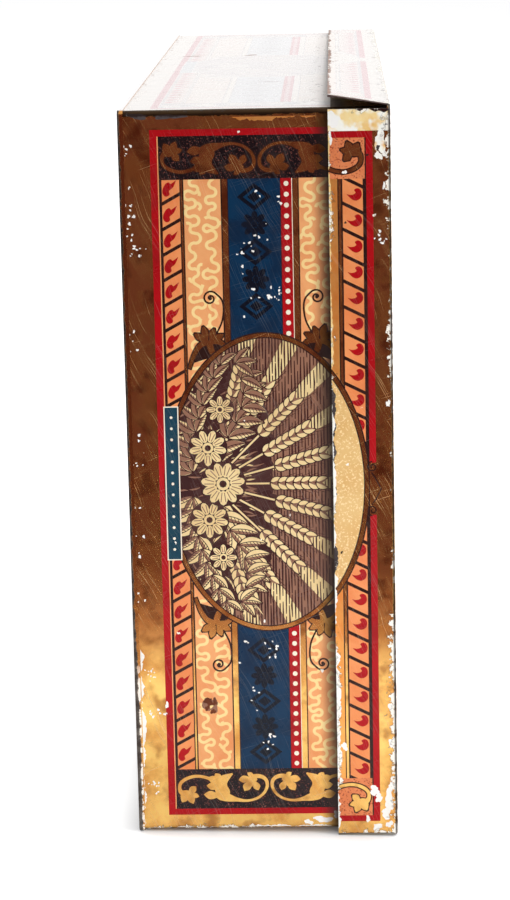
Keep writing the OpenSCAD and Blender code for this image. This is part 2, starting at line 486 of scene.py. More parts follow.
def ink_material(name, wear_and_shade, glare, colour, second, metal=0.0, rough=0.26, fleck=None):
    """One ink over the sheet: its colour runs to second in patches, and wear bares the metal."""
    material, g, shader = new_material(name)
    group = g.tree.nodes.new("ShaderNodeGroup")
    group.node_tree = wear_and_shade
    chip, rim, scratch, patch, soil_and_shade, relief = (group.outputs[i] for i in range(6))
    # Painted highlight: by the given share the tones, flecks and metal are paled towards near-white, for a
    # side in strong light
    tones = [linear(*(c + (f - c) * glare for c, f in zip(tone, GLARE_WHITE))) for tone in (colour, second)]
    base = g.mix(g.step(patch, 0.35, 0.7), *tones)
    if fleck:
        tone, scale, share, soft = fleck
        tone = [c + (f - c) * glare for c, f in zip(tone, GLARE_WHITE)]
        base = g.mix(g.step(g.noise(g.millimetres(), scale, 2.0), share, share + soft), base, linear(*tone))
    metal *= 1 - glare
    base = g.mix(g.times(scratch, 0.07 + 0.1 * metal), base, BARE)
    base = g.mix(g.times(rim, 0.55 * (1 - glare)), base, GRIME_AND_SHADE)
    base = g.mix(chip, base, BARE)
    # Soil, tarnish and pits darken the ink, and so does the painted shadow beside the lid's edge on the body
    base = g.mix(g.times(soil_and_shade, 0.96 * (1 - 0.88 * glare)), base, GRIME_AND_SHADE)
    spoiled = g.most(chip, soil_and_shade)
    if metal:
        # Scratches and rubbed patches scatter some light, and soil and painted shade stay dark
        dull = g.most(g.times(scratch, 0.36), g.step(patch, 0.42, 0.62, 0.0, 0.05))
        dull = g.most(chip, dull)
        g.drive(shader, {"Metallic": g.times(g.minus(1.0, dull), metal)})
    gloss = g.plus(g.step(patch, 0.3, 0.75, rough - 0.03, rough + 0.05), g.times(scratch, 0.12))
    shader.inputs["Specular IOR Level"].default_value = 0.25
    bump = g.add("ShaderNodeBump", {"Strength": 1.0, "Distance": MM, "Height": relief})
    g.drive(shader, {"Base Color": base, "Roughness": g.blend(spoiled, gloss, 0.5), "Normal": bump})
    return material


# Colour, second colour, share of metal, roughness, and flecks of (colour, scale, share, softness)
INKS = {
    "gold": ((252, 206, 118), (222, 156, 80), 1.0, 0.16, ((188, 132, 70), 0.2, 0.5, 0.22)),
    "copper": ((255, 180, 96), (244, 150, 70), 0.6, 0.3),
    "red": ((178, 6, 17), (156, 4, 13)),
    "dark": ((42, 22, 18), (54, 28, 22)),
    "peach": ((240, 168, 110), (230, 146, 90)),
    "apricot": ((238, 150, 92), (228, 128, 72)),
    "cream": ((250, 218, 152), (244, 202, 134)),
    "worn": ((252, 226, 164), (238, 184, 98), 0.0, 0.26, ((255, 253, 244), 0.34, 0.4, 0.2)),
    "blue": ((5, 50, 82), (4, 36, 64)),
    "teal": ((26, 68, 85), (20, 54, 72)),
    "navy": ((10, 16, 28), (14, 22, 38)),
    "ivory": ((236, 212, 158), (224, 194, 138)),
    "buff": ((230, 190, 126), (220, 172, 104), 0.0, 0.26, ((244, 214, 160), 2.2, 0.56, 0.05)),
    "umber": ((150, 106, 84), (130, 90, 72)),
    "sepia": ((60, 32, 32), (76, 44, 40)),
    "stipple": ((24, 16, 19), (32, 20, 22), 0.0, 0.26, ((142, 82, 72), 3.6, 0.62, 0.05)),
    "orange": ((228, 138, 88), (214, 118, 72), 0.0, 0.26, ((160, 66, 44), 2.6, 0.58, 0.05)),
    "white": ((246, 236, 216), (238, 224, 198)),
    "bare": ((253, 251, 247), (242, 238, 230), 0.0, 0.5),
    "steel": ((82, 73, 74), (58, 50, 51), 0.0, 0.4),
    "rust": ((110, 56, 32), (76, 38, 24), 0.0, 0.7),
}
BODY_CENTRE = ((RIM_TOP + 68.0) / 2, 0.0, BODY_MID)
BODY_HALF = ((72.0 - RIM_TOP) / 2, BODY_Y, BODY_MID - BODY_LOW)
LID_CENTRE = ((LID_FREE + LID_TOP - 1.0) / 2, 0.0, LID_MID)
LID_HALF = ((LID_TOP - LID_FREE + 1.0) / 2, LID_Y, LID_MID)
# On the body the dark band beside the lid's edge is painted shadow of the lid, with soil
body_wear_and_shade = wear_and_shade_group("body_wear_and_shade", BODY_CENTRE, BODY_HALF, 0.56, ((12.2, 16.6), (19.0, 24.0)), (0.4, 1.35))
# On the lid the dark band lies on the fold round to the top panel
LID_DARK_BAND = ((LID_FOLD, LID_TOP - 0.3), (LID_TOP - 0.15, LID_TOP - 0.02))
lid_wear = wear_and_shade_group("lid_wear", LID_CENTRE, LID_HALF, 0.465, LID_DARK_BAND, (0.45, 0.45))
# Painted highlight: the upper side's print is paled nearly to white for the strong light on it, apart from
# the strip that the lid covers
PALE = 0.93
GLARE_SHARES = {"red": 0.84, "blue": 0.96, "rust": 0.4, "steel": 0.3}


def ink_set(label, wear_and_shade, pale):
    glare_shares = {n: GLARE_SHARES.get(n, PALE) if pale else 0.0 for n in INKS}
    return {n: ink_material(label + n, wear_and_shade, glare_shares[n], *ink) for n, ink in INKS.items()}


body_inks, lid_inks = ink_set("body_", body_wear_and_shade, False), ink_set("lid_", lid_wear, False)
pale_body_inks, pale_lid_inks = ink_set("pale_body_", body_wear_and_shade, True), ink_set("pale_lid_", lid_wear, True)
pale_body_inks["covered"] = body_inks["gold"]


def metal_material(name, colour, stain, rust, rust_from, metal, rough, grain, rim=None):
    """Metal with stains, rust and a fine grain, and with gold from a height of rim on."""
    material, g, shader = new_material(name)
    at = g.millimetres()
    cloud = g.noise(at, 0.06, 5.0, 0.6)
    spots = g.noise(at, 0.5, 6.0, 0.7)
    base = g.mix(g.step(cloud, 0.35, 0.7), linear(*colour), linear(*stain))
    if rim:
        edge = edge_distance(g, at, (0.0, 0.0, BODY_MID), (-BASE_OUT, BODY_Y, BODY_MID - BODY_LOW))
        edge = g.plus(edge, g.times(spots, 9.0))
        base = g.mix(g.step(edge, 9.0, 3.0), base, linear(58, 47, 43))
    rusty = g.plus(g.times(spots, 0.6), g.times(cloud, 0.4))
    rusty = g.step(rusty, rust_from, rust_from + 0.06)
    base = g.mix(rusty, base, linear(*rust))
    shine = g.blend(rusty, metal, 0.1)
    streak = g.noise(g.turned(at, 0.2, (0.25, 7.0, 0.25)), 1.0, 2.0)
    gloss = g.plus(g.step(streak, 0.3, 0.7, rough - 0.06, rough + 0.08), g.times(rusty, 0.25))
    if rim:
        # Gold above a dark fold, bare below, and painted pale on the upper side for the strong light there
        across, up = (g.add("ShaderNodeSeparateXYZ", {0: at}, i) for i in (0, 2))
        worn_from = g.step(up, 60.0, 30.0, 0.6, 1.0)
        across = g.minus(g.plus(across, g.times(spots, 1.4)), worn_from)
        gilt = g.step(across, rim - 0.1, rim + 0.1)
        bare = g.times(g.times(gilt, g.step(up, 46.0, 36.0)), g.step(spots, 0.46, 0.5))
        base = g.mix(g.times(gilt, 0.85), base, linear(*INKS["gold"][1]))
        base = g.mix(g.step(up, BODY_HIGH, BODY_HIGH + 0.3), g.mix(bare, base, BARE), linear(*GLARE_WHITE))
        shine = g.blend(bare, g.blend(gilt, shine, 1.0), 0.0)
        gloss = g.blend(gilt, gloss, 0.22)
    height = g.plus(g.times(g.noise(at, grain, 3.0), 0.05), g.times(rusty, 0.02))
    bump = g.add("ShaderNodeBump", {"Strength": 0.6, "Distance": MM, "Height": height})
    g.drive(shader, {"Base Color": base, "Metallic": shine, "Roughness": gloss, "Normal": bump})
    return material


tinplate = metal_material("tinplate", (196, 194, 186), (150, 144, 132), (112, 70, 42), 0.60, 0.9, 0.34, 0.6)
base_metal = metal_material(
    "base_tinplate", (150, 144, 134), (112, 104, 94), (84, 50, 32), 0.57, 0.6, 0.46, 0.8, -30.0,
)
solder = metal_material("solder", (158, 158, 154), (120, 118, 112), (96, 88, 78), 0.62, 0.85, 0.42, 1.6)
NODE_METALS = {
    "front_wrap": tinplate, "back_panel": tinplate, "lid_pan": tinplate, "base_pan": base_metal,
    "seam_solder": solder, "base_solder": solder, "lid_solder": solder,
}
for node_name, metal in NODE_METALS.items():
    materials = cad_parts[node_name].data.materials
    if len(materials) == 0:
        materials.append(metal)
    for i in range(len(materials)):
        materials[i] = metal

# Ornaments

FLAME = [
    (1.0, 1.0), (0.74, 0.84), (0.58, 0.76), (0.44, 0.86), (0.22, 0.76), (0.03, 0.47), (0.0, 0.21),
    (0.14, 0.02), (0.34, 0.0), (0.5, 0.13), (0.46, 0.32), (0.58, 0.42), (0.78, 0.58),
]
LID_FLAME = [
    (0.0, 0.55), (0.22, 0.47), (0.45, 0.5), (0.6, 0.64), (0.5, 0.86), (0.7, 1.0), (0.9, 0.88), (1.0, 0.55),
    (0.92, 0.2), (0.64, 0.0), (0.36, 0.1), (0.15, 0.34),
]


def flame(knots, wide, high):
    return [complex(x * wide, y * high) for x, y in curve([*knots, knots[0]], 3)[:-1]]


BAR_PITCH, BAR_WIDE = 5.85, 0.85


def barber(art, x0, x1, low, high, slope, shape, spot):
    """A band of slanting cells, each with a flame at spot above the foot of its bar."""
    cells = max(1, round((high - low) / BAR_PITCH))
    pitch = (high - low) / cells
    art.strips(low, high, ("apricot", x0, x1))
    art.clip = len(art.areas) - 1
    for i in range(-1, cells + 1):
        z = low + i * pitch
        ends = ((x0, z), (x1, z + slope), (x1, z + slope + BAR_WIDE), (x0, z + BAR_WIDE))
        art.fill("dark", [[complex(*p) for p in ends]])
        art.fill("red", [shape], lambda p: spot + complex(0, z) + p)
    art.clip = None


def vermicelli(art, x0, x1, low, high, seed, columns, scale=1.0):
    """A panel filled with winding lines: arcs that turn left and right by turns, and side branches."""
    art.strips(low, high, ("peach", x0, x1))
    art.clip = len(art.areas) - 1
    dice = random.Random(seed)
    width = (x1 - x0) / columns

    def arc(line, heading, sweep, radius):
        spot = complex(line[-1][0], line[-1][1])
        steps = max(3, math.ceil(abs(sweep) / 0.45))
        for _ in range(steps):
            heading += sweep / steps
            spot += radius * abs(sweep) / steps * complex(math.sin(heading), math.cos(heading))
            line.append((spot.real, spot.imag, 0.72 * scale))
        return heading

    lines = []
    for column in range(columns):
        middle = x0 + width * (column + 0.5)
        line, heading, turn = [(middle, low - 2.0, 0.72 * scale)], 0.0, 1
        while line[-1][1] < high + 1.0:
            radius = dice.uniform(0.75, 1.15) * scale
            heading = arc(line, heading, turn * dice.uniform(0.95, 2.15) - heading, radius)
            run = turn * (middle - line[-1][0]) + width * dice.uniform(0.0, 0.14)
            if run > 0:
                x, z, w = line[-1]
                line.append((x + run * math.sin(heading), z + run * math.cos(heading), w))
            turn = -turn
        lines.append(line)
    # Branches go where they touch no other line
    taken = [complex(x, z) for line in lines for x, z, _ in line]
    for _ in range(round((high - low) * columns * 1.5)):
        line = dice.choice(lines[:columns])
        i = dice.randrange(1, len(line) - 1)
        root = complex(*line[i][:2])
        ahead = complex(*line[i + 1][:2]) - root
        branch = [line[i]]
        heading = math.atan2(ahead.real, ahead.imag) + dice.choice((1.57, -1.57))
        heading = arc(branch, heading, dice.uniform(-1.2, 1.2), 1.0 * scale)
        arc(branch, heading, dice.uniform(-2.2, 2.2), 0.75 * scale)
        path = [complex(x, z) for x, z, _ in branch[1:]]
        near = [q for q in taken if 0.9 * scale < abs(q - root) < 5 * scale]
        if min((abs(p - q) for p in path[1:] for q in near), default=9.0) > 1.1 * scale:
            lines.append(branch)
            taken += path
    for line in lines:
        art.fill("cream", ribbon(line))
    art.clip = None


SCROLL_STEM = curve([
    (-13.2, -1.7, 0.3), (-11.6, -2.0, 1.9), (-9.7, -2.4, 1.9), (-7.8, -2.85, 1.0), (-5.4, -3.15, 0.62),
    (-3.1, -2.6, 0.62), (-1.4, -1.3, 0.66), (-0.6, 0.4, 0.75), (-0.8, 1.9, 0.85), (-1.9, 2.8, 0.95),
    (-3.4, 2.9, 1.1), (-4.4, 2.2, 1.6),
], 4)
SCROLL_CORE = curve([(-3.2, 2.7, 1.4), (-4.2, 2.0, 2.2), (-4.5, 1.1, 1.9), (-4.4, 0.3, 0.6)], 4)
SCROLL_LOBES = lobes([
    (-3.8 + 2.6j, -7.3 + 2.0j, 1.8), (-4.1 + 2.4j, -6.0 - 0.7j, 2.0), (-3.7 + 2.2j, -2.7 - 0.6j, 1.7),
    (-3.2 + 2.4j, -5.2 + 3.8j, 1.2),
])
CALYX = curve([
    (-10.9, -2.4, 1.8), (-11.0, -1.3, 3.3), (-11.5, 0.4, 3.0), (-11.0, 2.0, 2.5), (-8.7, 3.6, 0.3),
], 4)
CALYX_LOBES = lobes([
    (-11.0 + 1.2j, -14.5 + 2.7j, 1.9), (-11.0 + 0.2j, -14.9 + 0.7j, 1.9), (-11.0 - 2.0j, -15.6 - 1.5j, 2.1),
    (-11.2 + 1.4j, -12.8 + 3.7j, 1.7),
])
SMALL_STEM = curve([
    (-13.6, 2.1, 0.8), (-15.3, 2.8, 0.75), (-17.4, 3.05, 0.75), (-19.4, 2.55, 0.8), (-20.9, 1.5, 0.8),
    (-21.3, 0.2, 0.8), (-20.9, -0.9, 1.2), (-19.6, -1.4, 2.0), (-18.4, -1.7, 1.2),
], 4)
SMALL_LOBES = lobes([
    (-19.6 - 1.6j, -17.4 + 0.5j, 1.7), (-19.8 - 1.2j, -16.7 - 2.0j, 1.4), (-19.5 - 0.6j, -18.1 - 3.8j, 1.7),
    (-19.2 - 0.6j, -20.8 - 3.4j, 1.8), (-19.0 - 1.1j, -21.2 - 2.0j, 1.3),
])


def scroll(art, centre, scale, flip):
    """A pair of leafy scrolls, back to back."""
    ribbons = [SCROLL_STEM, SCROLL_CORE, *SCROLL_LOBES, CALYX, *CALYX_LOBES, SMALL_STEM, *SMALL_LOBES]
    for side in (1, -1):
        art.outlined(ribbons, lambda p: centre + scale * complex(side * p.real, flip * p.imag))


def small_scroll(art, tip, side, flip):
    """The end of a scroll alone, with its outermost point at tip."""
    art.outlined([SMALL_STEM, *SMALL_LOBES], lambda p: tip + complex(side * (p.real + 21.7), flip * p.imag))


def rosette(art, centre, size, petals, ink, eye):
    for i in range(petals):
        a = 2 * math.pi * i / petals
        spot = centre + 0.62 * size * direction(a)
        art.fill(ink, [disc(spot, 0.4 * size, 0.24 * size, a, sides=10)])
    art.fill(eye, [disc(centre, 0.24 * size, sides=10)])


def ribbon_motifs(art, at, low, high, size):
    """Tone-on-tone lozenges and rosettes along a plain band from low to high."""
    count = max(1, round((high - low) / (1.75 * size)))
    pitch = (high - low) / count
    for i in range(count):
        spot = at(complex(0.0, low + (i + 0.5) * pitch))
        if i % 2:
            rosette(art, spot, 0.78 * size, 8, "navy", "navy")
            continue
        for r, ink in ((size, "navy"), (0.64 * size, "blue"), (0.4 * size, "navy")):
            art.fill(ink, [[spot + r * d for d in (1, 0.8j, -1, -0.8j)]])


FLEUR = [
    curve([(-17.2, -27.2, 0.6), (-16.2, -30.0, 0.9), (-14.7, -32.4, 1.2), (-12.8, -33.4, 1.5)], 4),
    curve([(-11.3, -29.8, 1.2), (-12.2, -31.6, 1.4), (-12.6, -33.6, 1.6)], 4),
    curve([(-8.8, -32.0, 0.9), (-10.2, -33.2, 1.2), (-12.4, -33.5, 1.5)], 4),
    *lobes([
        (-12.6 - 33.0j, -15.9 - 35.2j, 1.6), (-12.7 - 33.0j, -13.9 - 36.9j, 1.6),
        (-12.6 - 33.0j, -11.3 - 36.4j, 1.5), (-12.6 - 33.2j, -9.2 - 35.0j, 1.5),
    ]),
]
TENDRIL = curve([(-10.8, -35.2), (-9.5, -38.0), (-9.1, -41.0), (-9.5, -43.0), (-10.66, -44.29)], 4)
TENDRIL_END = -12.1 - 43.3j


def corner_fleur(art, centre, side, flip):
    """A bracket between the oval and a panel, with its tendril."""
    at = lambda p: centre + complex(side * p.real, flip * p.imag)
    art.fill("dark", [[-17.0 - 28.2j, -15.4 - 32.6j, -12.5 - 34.6j, -9.4 - 32.6j, -11.2 - 30.0j]], at)
    for line in ([(x, y, 0.42) for x, y in TENDRIL], coil(TENDRIL_END, 1.75, 0.3, -0.6, -9.6, 0.42)):
        art.fill("dark", ribbon(line), at)
    art.fill("dark", [disc(TENDRIL_END, 0.42)], at)
    art.outlined(FLEUR, at)


def engraving(art, at, seed):
    """A spray of wheat, leaves and flowers in fine lines, upright on its own axes, 66 wide and 44 high."""
    dice = random.Random(seed)

    def stroke(ink, line, grow=0.0):
        art.fill(ink, ribbon(line, grow), at)

    # Rays behind the ears
    for i in range(12):
        rays = [60 * direction(math.radians(a + 15 * i)) - 13j for a in (3, 12)]
        art.fill("umber", [[-13j, *rays]], at)
    # Ground lines, closer and heavier towards the foot
    y = -23.0
    while y < 23.0:
        dark = max(0.0, (23.0 - y) / 46)
        x = -36.0 + dice.uniform(0, 2)
        while x < 36:
            run = dice.uniform(4, 16) * (0.5 + dark)
            w = 0.3 + 0.3 * dark
            line = [(x, y, w * 0.5), (x + run * 0.5, y + dice.uniform(-0.15, 0.15), w), (x + run, y, w * 0.5)]
            stroke("sepia", line)
            x += run + dice.uniform(0.2, 1.8) * (1.3 - dark)
        y += 0.66 + 0.1 * (1 - dark)
    # Dark mass behind the leaves, with grass over it
    for i in range(34):
        a = math.pi * i / 33
        spot = complex(25.5 * math.cos(a), -13.5 + 13.5 * math.sin(a) * dice.uniform(0.75, 1.0))
        art.fill("sepia", [disc(spot, 4.2, 3.2, dice.uniform(0, 3), sides=11)], at)
    art.fill("sepia", [disc(-12j, 24.0, 12.0, sides=30)], at)
    for i in range(230):
        root = complex(dice.uniform(-29, 29), dice.uniform(-22, -3))
        lean = math.pi / 2 - root.real / 30 + dice.uniform(-0.35, 0.35)
        tip = root + dice.uniform(1.8, 4.2) * direction(lean)
        blade = leaf(root, tip, 0.42, dice.uniform(-0.12, 0.12), 4)
        stroke(("ivory", "umber", "umber")[i % 3], blade)
    # Wheat ears in a fan
    for i in range(11):
        a = math.radians(15 + 15 * i)
        foot, way = complex(0, -13), direction(a)
        reach = 31.0 - 5.5 * math.sin(a) + (-1.6 if i % 2 else 1.0)
        stem = [(foot + way * reach * t) for t in (0.2, 0.97)]
        for ink, width in (("sepia", 0.95), ("ivory", 0.42)):
            stroke(ink, [(p.real, p.imag, width) for p in stem])
        for k in range(7):
            root = foot + way * (reach * 0.58 + k * 1.75)
            for side in (1, -1):
                tip = root + way * complex(2.5, side * 1.25)
                end = tip + way * complex(3.2, side * 1.1)
                grain = leaf(root, tip, 1.25, 0.1 * side, 6)
                stroke("sepia", [(tip.real, tip.imag, 0.18), (end.real, end.imag, 0.1)])
                stroke("sepia", grain, 0.24)
                stroke("ivory", grain)
                stroke("umber", leaf(root, tip, 0.5, -0.12 * side, 4))
    # Leaves in two branches and a low row
    spots = []
    for side in (1, -1):
        for k in range(8):
            t = k / 7
            root = complex(side * (4 + 24 * t), -14 + 9 * math.sin(2.2 * t))
            spots.append((root, side, 0.35 + 1.1 * t, 7.2 - 2.2 * t))
        for k in range(9):
            t = k / 8
            spots.append((complex(side * (3 + 25 * t), -17 + 7 * t * t), side, 0.7 * t - 0.5, 6.5 - 2.0 * t))
    for root, side, a, size in spots:
        for fork in (-0.75, 0.0, 0.75):
            way = size * complex(side * math.cos(a + fork), math.sin(a + fork))
            shape = leaf(root, root + way, size * 0.36, 0.08)
            stroke("sepia", shape, 0.22)
            stroke("ivory", shape)
            shade = [complex(x, y) - way / size * 0.5j * side * w for x, y, w in shape]
            art.fill("umber", [shade + [root + way, root]], at)
            stroke("sepia", [(x, y, 0.2) for x, y, _ in shape])
            for x, y, w in shape[2:7]:
                end = complex(x, y) + way / size * complex(0.55, -0.75) * w * 0.62
                stroke("sepia", [(x, y, 0.16), (end.real, end.imag, 0.14)])
    # Flowers
    flowers = [
        (-8.5 - 13.5j, 4.4, 9), (8.5 - 13.5j, 4.4, 9), (-10.2j, 5.2, 11), (-17.5 - 10.5j, 3.2, 8),
        (17.5 - 10.5j, 3.2, 8),
    ]
    for spot, size, petals in flowers:
        art.fill("sepia", [disc(spot, size * 1.04, sides=18)], at)
        for i in range(petals):
            a = 2 * math.pi * i / petals
            way = direction(a)
            art.fill("ivory", [disc(spot + way * size * 0.64, size * 0.34, size * 0.2, a, sides=10)], at)
            for lean in (-0.13, 0.13):
                vein = [spot + way * complex(1, lean) * size * t for t in (0.4, 0.82)]
                stroke("umber", [(p.real, p.imag, 0.2) for p in vein])
        art.fill("ivory", [disc(spot, size * 0.3, sides=10)], at)
        art.fill("sepia", [disc(spot, size * 0.17, sides=8)], at)


OVAL_X, OVAL_A, OVAL_B = 1.4, 23.4, 35.1


def oval(art, centre, a, b, scale, at, seed, field="ivory"):
    """A framed oval field, with a picture on ivory."""
    for inset, ink in ((-0.3, "dark"), (0.0, "gold"), (0.9 * scale, "dark"), (1.15 * scale, field)):
        art.fill(ink, [disc(centre, a - inset, b - inset, sides=96)])
    if field == "ivory":
        art.clipped(engraving, at, seed)


def chips(art, ink, *patches):
    for x, y, size, stretch in patches:
        art.fill(ink, [rough_blob(complex(x, y), size, int(x * 31 + y * 57), stretch)])


def speck_clusters(art, seed, count, x0, x1, low, high, ink="bare"):
    """Specks in clusters, of bare metal or another ink."""
    dice = random.Random(seed)
    for _ in range(count):
        cluster = complex(dice.uniform(x0, x1), dice.uniform(low, high))
        for _ in range(dice.randint(1, 4)):
            spot = cluster + complex(dice.gauss(0, 0.7), dice.gauss(0, 0.9))
            size, shape, stretch = dice.uniform(0.14, 0.42), dice.randint(0, 999), dice.uniform(0.6, 1.3)
            art.fill(ink, [rough_blob(spot, size, shape, stretch, 11)])


def ragged_strip(art, ink, x, low, high, deep, seed):
    """A ragged strip along an edge at x, up to deep wide."""
    dice = random.Random(seed)
    steps = round((high - low) / 0.35)
    rail, wide = [], 0.5
    for i in range(steps + 1):
        wide = min(max(wide + dice.uniform(-0.3, 0.3), 0.0), 1.0)
        reach = deep * wide * min(1.0, i / 4, (steps - i) / 4)
        rail.append(complex(x + reach, low + (high - low) * i / steps))
    art.fill(ink, [[*rail, complex(x, high), complex(x, low)]])


# Drawings of the sides

PRINT_END, RED_WIDE, SCROLL_WIDE = 5.1, 1.5, 9.8
PRINT_LEFT, PRINT_RIGHT = -21.6, 17.8


def side_art(art, mid, half, seed):
    """One side of the body: X across, its length up, and half its printed length."""
    red, inner = half - PRINT_END, half - PRINT_END - RED_WIDE
    field = inner - SCROLL_WIDE
    ends = (mid - field, mid + field)
    art.strips(mid - red, mid + red, ("red", -23.47, PRINT_RIGHT))
    art.strips(mid - inner, mid + inner, ("peach", -21.85, PRINT_RIGHT), ("dark", PRINT_LEFT, PRINT_RIGHT))
    barber(art, -21.0, -17.0, *ends, 2.2, flame(FLAME, 3.2, 3.7), -20.85 + 2.1j)
    art.strips(*ends, ("dark", -17.0, -16.1), ("gold", -16.75, -16.4))
    vermicelli(art, -16.1, -7.8, *ends, seed, 2)
    vermicelli(art, 9.85, PRINT_RIGHT, *ends, seed + 1, 2)
    art.strips(*ends, ("dark", -7.8, -6.1), ("gold", -7.5, -6.3), ("blue", -6.1, 5.6), ("dark", 5.6, 5.75))
    art.strips(*ends, ("red", 5.75, 8.3), ("white", 8.2, 8.35), ("gold", 8.35, 9.6), ("dark", 9.6, 9.85))
    dots = round(2 * field / 2.46)
    for i in range(dots):
        art.fill("white", [disc(complex(7.0, mid - field + (i + 0.5) * 2 * field / dots), 0.58, sides=10)])
    for sign in (1, -1):
        ribbon_motifs(art, lambda p: complex(-0.25, mid + sign * p.imag), 37.5, field - 1.0, 3.9)
    for sign in (1, -1):
        low, high = sorted((mid + sign * field, mid + sign * inner))
        art.strips(low, high, ("stipple", PRINT_LEFT, PRINT_RIGHT))
        art.clipped(scroll, complex(0.5, (low + high) / 2 - 0.1 * sign), 1.0, -sign)
    middle = complex(OVAL_X, mid - 0.7)
    for sign in (1, -1):
        for up in (1, -1):
            corner_fleur(art, middle, sign, up)
    oval(art, middle, OVAL_A, OVAL_B, 1.0, lambda p: middle + complex(p.imag, -p.real), seed + 2)
    art.fill("white", [box(-22.05, mid - 18.7, -18.65, mid + 17.7)])
    art.fill("teal", [box(-21.8, mid - 18.45, -18.9, mid + 17.45)])
    for i in range(13):
        art.fill("white", [disc(complex(-20.35, mid - 0.5 + (i - 6) * 2.6), 0.34, sides=8)])


def skirt_art(art, mid, half, seed):
    """One skirt of the lid: X across, its length up."""
    red, inner = half - 4.75, half - 6.2
    field = inner - 9.2
    ends = (mid - field, mid + field)
    art.strips(mid - red, mid + red, ("red", LID_FREE, 26.5))
    art.strips(mid - inner, mid + inner, ("dark", LID_FREE, 25.0))
    art.strips(*ends, ("copper", LID_FREE, 18.5), ("gold", 18.75, 19.3))
    barber(art, 19.65, 24.2, *ends, -2.3, flame(LID_FLAME, 3.5, 2.8), 20.5 + 0.95j)
    for sign in (1, -1):
        low, high = sorted((mid + sign * field, mid + sign * inner))
        art.strips(low, high, ("orange", LID_FREE, 24.7))
        art.clipped(small_scroll, complex(24.3, (low + high) / 2), -1, -sign)
    middle = complex(OVAL_X, mid + 0.2)
    oval(art, middle, OVAL_A, OVAL_B, 1.0, None, seed, "buff")
    art.fill("gold", [box(24.95, mid - 6.9, 26.55, mid + 5.4)])
    for sign, z in ((1, 4.4), (-1, -5.9)):
        line = coil(complex(25.6, mid + z), 1.3, 0.2, 1.57 * sign, (1.57 + 9.0) * sign, 0.28)
        art.fill("dark", ribbon(line))
    tip = [(25.4, -4.6, 0.28), (26.3, -3.3, 0.28), (27.6, -0.8, 0.28), (26.3, 1.7, 0.28), (25.4, 3.1, 0.28)]
    art.fill("dark", ribbon([(x, mid + z, w) for x, z, w in tip]))


PANEL_Y, PICTURE_SCALE = 102.0, 1.75


def lid_art(art):
    """The lid's panel: Y across and Z up, about its middle."""
    shift = complex(0.0, LID_MID)
    at = lambda p: shift + p

    def frames(*sizes):
        for ink, a, b in sizes:
            art.fill(ink, [frame_box(a, b)], at)

    def rows(*bands):
        for ink, low, high in bands:
            art.fill(ink, [box(-PANEL_Y, low, PANEL_Y, high)], at)

    frames(("red", 112.5, 78.5), ("peach", 110.9, 76.9), ("dark", 110.5, 76.5), ("peach", 109.8, 75.8))
    for sign in (1, -1):
        for turn, length, reach in ((1, 109.8, 75.8), (1j, 75.8, 109.8)):
            cells = round(2 * (length - 6) / 7.0)
            pitch = 2 * (length - 6) / cells
            for i in range(cells + 1):
                x = 6 - length + i * pitch
                ends = ((x, reach), (x + 2.2, reach - 6), (x + 3.3, reach - 6), (x + 1.1, reach))
                art.fill("dark", [[complex(*p) for p in ends]], lambda p: shift + sign * turn * p)
                if i < cells:
                    spot = complex(x + 3.1, reach - 5.0)
                    art.fill("red", [flame(FLAME, 3.6, 3.6)], lambda p: shift + sign * turn * (spot + p))
    frames(("dark", 103.8, 69.8), ("gold", 103.4, 69.4), ("dark", 102.4, 68.4), ("stipple", PANEL_Y, 68.0))
    for sx in (1, -1):
        for sy in (1, -1):
            corner = shift + complex(sx * 106.8, sy * 72.8)
            for ink, half in (("dark", 3.3), ("red", 3.0)):
                art.fill(ink, [[p + corner for p in frame_box(half, half)]])
            rosette(art, corner, 2.6, 8, "gold", "gold")
    for sign in (1, -1):
        for x in (-68.0, 0.0, 68.0):
            scroll(art, shift + complex(x, sign * 60.5), 1.5, -sign)
        rows(("dark", *sorted((sign * 21.0, sign * 52.0))), ("gold", sign * 50.2, sign * 51.6))
        low, high = sorted((LID_MID + sign * 22.6, LID_MID + sign * 49.8))
        art.through(swapped, vermicelli, low, high, -PANEL_Y, PANEL_Y, 40 + sign, 5, 1.3)
        rows(("gold", sign * 20.6, sign * 22.2), ("red", sign * 16.2, sign * 20.2))
        for i in range(52):
            art.fill("white", [disc(complex(-100.0 + i * 200 / 51, sign * 18.2), 0.95, sides=10)], at)
    rows(("dark", -16.3, 16.3), ("blue", -15.9, 15.9))
    for sign in (1, -1):
        ribbon_motifs(art, lambda p: shift + complex(sign * p.imag, 0.0), 66.0, 100.0, 9.0)
        for up in (1, -1):
            art.through(lambda p: shift + PICTURE_SCALE * swapped(p), corner_fleur, 0j, sign, up)
    oval(art, shift, 61.5, 41.0, 1.7, lambda p: shift + PICTURE_SCALE * p, 77)


# Sheets: outlines, folds and where a flat point lies

ARC = math.pi / 2 * BODY_R
BODY_FLAT = BODY_HIGH - BODY_MID - BODY_R


def body_outline(low, high, folds):
    outline = box(RIM_TOP, low, MOUTH, high)
    return Art(outline, [(complex(RIM_TOP, f), complex(MOUTH, f)) for f in folds if low < f < high])


def arc_folds(start, sign):
    return [start + sign * ARC * i / ARC_STEPS for i in range(ARC_STEPS + 1)]


def round_corner(reach, straight, radius):
    """(out, along, angle) of a point past the straight part of a folded sheet."""
    a = min(max((reach - straight) / radius, 0.0), math.pi / 2)
    return radius * math.cos(a), radius * math.sin(a), a


def place_front(x, z):
    sign = 1 if z > BODY_MID else -1
    reach = sign * (z - BODY_MID)
    out, along, a = round_corner(reach, BODY_FLAT, BODY_R)
    up = min(reach, BODY_FLAT) + along
    spot = Vector((x, BODY_R - BODY_Y - out, BODY_MID + sign * up))
    return spot, Vector((0, -math.cos(a), sign * math.sin(a)))


